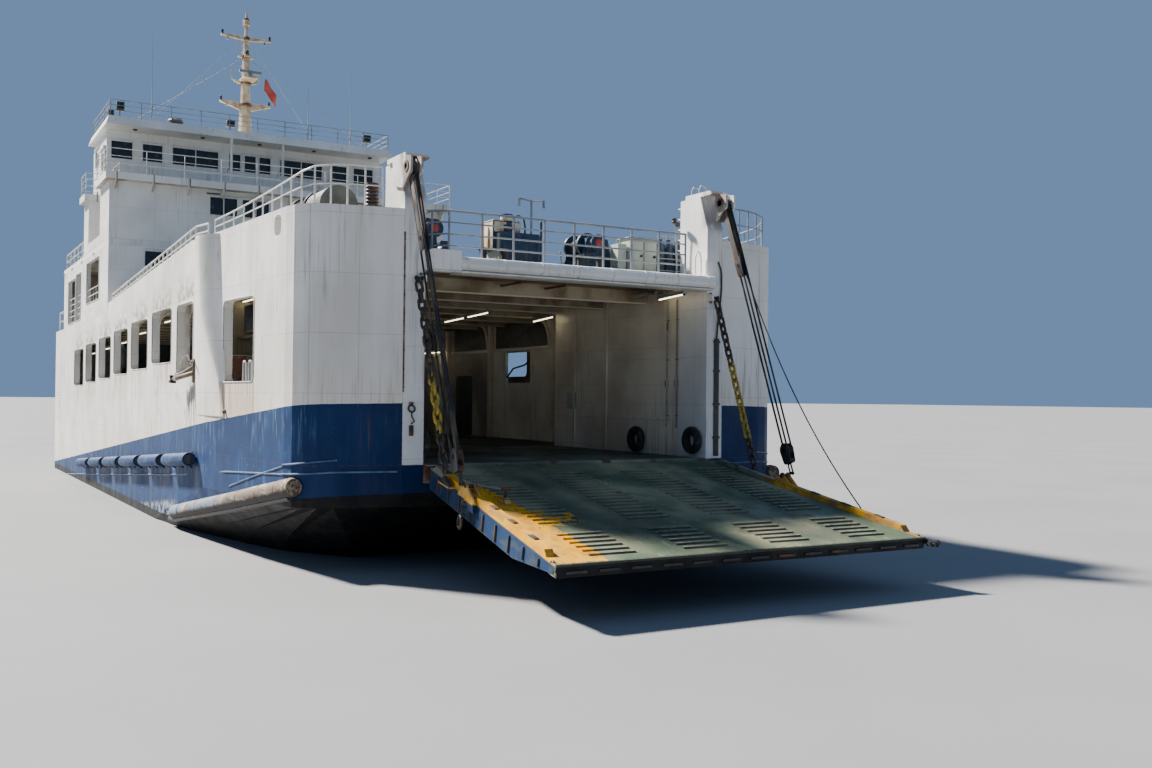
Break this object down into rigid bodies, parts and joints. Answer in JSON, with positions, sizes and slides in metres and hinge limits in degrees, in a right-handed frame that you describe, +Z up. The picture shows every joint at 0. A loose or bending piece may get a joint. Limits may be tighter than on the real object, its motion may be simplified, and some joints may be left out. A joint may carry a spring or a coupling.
{
  "type": "ro-ro ferry, 1:2 scale model",
  "caption": "Double-sided car ferry with a lowered bow ramp, open car deck, passenger house, set-back wheelhouse, mast and stern ramp.",
  "frame": {"origin": "amidships on the centreline at the waterline, on mount waterline", "axes": "+X forward to the bow ramp, +Y to port, +Z up"},
  "size_m": [22.9798, 6.9698, 11.375],
  "materials": {
    "hull_blue": "royal blue hull paint over steel, scuffed and streaked",
    "white_paint": "off-white paint with vertical grime and rust streaks",
    "cream_paint": "cream paint with brown rust",
    "deck_green": "dull green deck paint",
    "ramp_green": "worn grey-green ramp plating",
    "rail_grey": "grey-blue painted tube",
    "rusty_steel": "scraped cream paint and rust",
    "wire_steel": "greased dark steel",
    "chain_yellow": "yellow and black chain, worn",
    "machine_blue": "dark blue machinery enamel",
    "cabinet_green": "pale green enamel",
    "bronze": "dull bronze"
  },
  "bodies": {
    "root": {"hull": "hull_blue", "bow_wing_port": "white_paint", "bow_wing_stbd": "white_paint", "pylon_port": "white_paint", "pylon_stbd": "white_paint", "fore_casing_port": "cream_paint", "fore_casing_stbd": "cream_paint", "side_wall_port": "white_paint", "side_wall_stbd": "white_paint", "stern_frame": "white_paint", "header_beam": "white_paint", "upper_deck": "deck_green", "passenger_house": "white_paint", "boat_deck": "deck_green", "crew_house": "white_paint", "bridge_deck": "deck_green", "wheelhouse": "white_paint", "wheelhouse_roof": "white_paint", "mast": "cream_paint", "funnel_port": "hull_blue", "funnel_stbd": "hull_blue", "header_rail": "rail_grey", "wing_rail_port": "white_paint", "wing_rail_stbd": "white_paint", "bulwark_rail_port": "white_paint", "bulwark_rail_stbd": "white_paint", "bridge_rail": "white_paint", "roof_rail": "rail_grey", "boat_deck_rail": "deck_green", "stern_rail": "white_paint", "diagonal_fender_port": "rusty_steel", "diagonal_fender_stbd": "rusty_steel", "tube_fenders_port": "hull_blue", "tube_fenders_stbd": "hull_blue", "bow_sill": "rusty_steel", "stern_sill": "rusty_steel", "windlass_base_port": "machine_blue", "windlass_base_stbd": "machine_blue", "winch_housing": "machine_blue", "deck_cabinet": "cabinet_green", "air_bottles": "machine_blue", "lamp_post": "rail_grey", "stair_hood": "rail_grey", "shaft_strut_port": "wire_steel", "shaft_strut_stbd": "wire_steel"},
    "bow_ramp": {"bow_ramp": "ramp_green"},
    "stern_ramp": {"stern_ramp": "ramp_green"},
    "radar": {"radar_scanner": "rail_grey"},
    "wire_fall_port": {"wire_fall_port": "wire_steel"},
    "ramp_chain_port": {"ramp_chain_port": "chain_yellow"},
    "windlass_drum_port": {"windlass_drum_port": "machine_blue"},
    "propeller_port": {"propeller_port": "bronze"},
    "rudder_port": {"rudder_port": "wire_steel"},
    "wheelhouse_door_port": {"wheelhouse_door_port": "white_paint"},
    "wire_fall_stbd": {"wire_fall_stbd": "wire_steel"},
    "ramp_chain_stbd": {"ramp_chain_stbd": "chain_yellow"},
    "windlass_drum_stbd": {"windlass_drum_stbd": "machine_blue"},
    "propeller_stbd": {"propeller_stbd": "bronze"},
    "rudder_stbd": {"rudder_stbd": "wire_steel"},
    "wheelhouse_door_stbd": {"wheelhouse_door_stbd": "white_paint"}
  },
  "joints": [
    {"name": "bow_ramp_hinge", "type": "hinge", "parent": "root", "child": "bow_ramp", "pos_m": [9.86, 0, 1.06], "axis": [0, -1, 0], "range_deg": [-4, 97]},
    {"name": "stern_ramp_hinge", "type": "hinge", "parent": "root", "child": "stern_ramp", "pos_m": [-9.86, 0, 1.06], "axis": [0, -1, 0], "range_deg": [0, 98]},
    {"name": "wire_fall_port_swing", "type": "hinge", "parent": "root", "child": "wire_fall_port", "pos_m": [9.84, 2.01, 4.16], "axis": [0, -1, 0], "range_deg": [-22, 1.2]},
    {"name": "ramp_chain_port_swing", "type": "hinge", "parent": "root", "child": "ramp_chain_port", "pos_m": [9.8, 1.92, 3.025], "axis": [0, -1, 0], "range_deg": [-21, 1.2]},
    {"name": "windlass_port_turn", "type": "hinge", "parent": "root", "child": "windlass_drum_port", "pos_m": [8.65, 0.705, 3.675], "axis": [1, 0, 0], "continuous": true},
    {"name": "propeller_port_turn", "type": "hinge", "parent": "root", "child": "propeller_port", "pos_m": [-8.1, 1.3, -0.625], "axis": [1, 0, 0], "continuous": true},
    {"name": "rudder_port_turn", "type": "hinge", "parent": "root", "child": "rudder_port", "pos_m": [-8.7, 1.3, -0.575], "axis": [0, 0, 1], "range_deg": [-35, 35]},
    {"name": "door_port_slide", "type": "slide", "parent": "root", "child": "wheelhouse_door_port", "axis": [-1, 0, 0], "range_m": [0, 0.36]},
    {"name": "wire_fall_stbd_swing", "type": "hinge", "parent": "root", "child": "wire_fall_stbd", "pos_m": [9.84, -2.01, 4.16], "axis": [0, -1, 0], "range_deg": [-22, 1.2]},
    {"name": "ramp_chain_stbd_swing", "type": "hinge", "parent": "root", "child": "ramp_chain_stbd", "pos_m": [9.8, -1.92, 3.025], "axis": [0, -1, 0], "range_deg": [-21, 1.2]},
    {"name": "windlass_stbd_turn", "type": "hinge", "parent": "root", "child": "windlass_drum_stbd", "pos_m": [8.65, -1.425, 3.675], "axis": [1, 0, 0], "continuous": true},
    {"name": "propeller_stbd_turn", "type": "hinge", "parent": "root", "child": "propeller_stbd", "pos_m": [-8.1, -1.3, -0.625], "axis": [1, 0, 0], "continuous": true},
    {"name": "rudder_stbd_turn", "type": "hinge", "parent": "root", "child": "rudder_stbd", "pos_m": [-8.7, -1.3, -0.575], "axis": [0, 0, 1], "range_deg": [-35, 35]},
    {"name": "door_stbd_slide", "type": "slide", "parent": "root", "child": "wheelhouse_door_stbd", "axis": [-1, 0, 0], "range_m": [0, 0.36]},
    {"name": "radar_turn", "type": "hinge", "parent": "root", "child": "radar", "pos_m": [-4.45, 0, 8.8], "axis": [0, 0, 1], "continuous": true}
  ],
  "couplings": [
    {"joint": "wire_fall_port_swing", "follows": "bow_ramp_hinge", "ratio": -0.2216},
    {"joint": "ramp_chain_port_swing", "follows": "bow_ramp_hinge", "ratio": -0.2113},
    {"joint": "wire_fall_stbd_swing", "follows": "bow_ramp_hinge", "ratio": -0.2216},
    {"joint": "ramp_chain_stbd_swing", "follows": "bow_ramp_hinge", "ratio": -0.2113},
    {"joint": "rudder_stbd_turn", "follows": "rudder_port_turn", "ratio": 1}
  ]
}
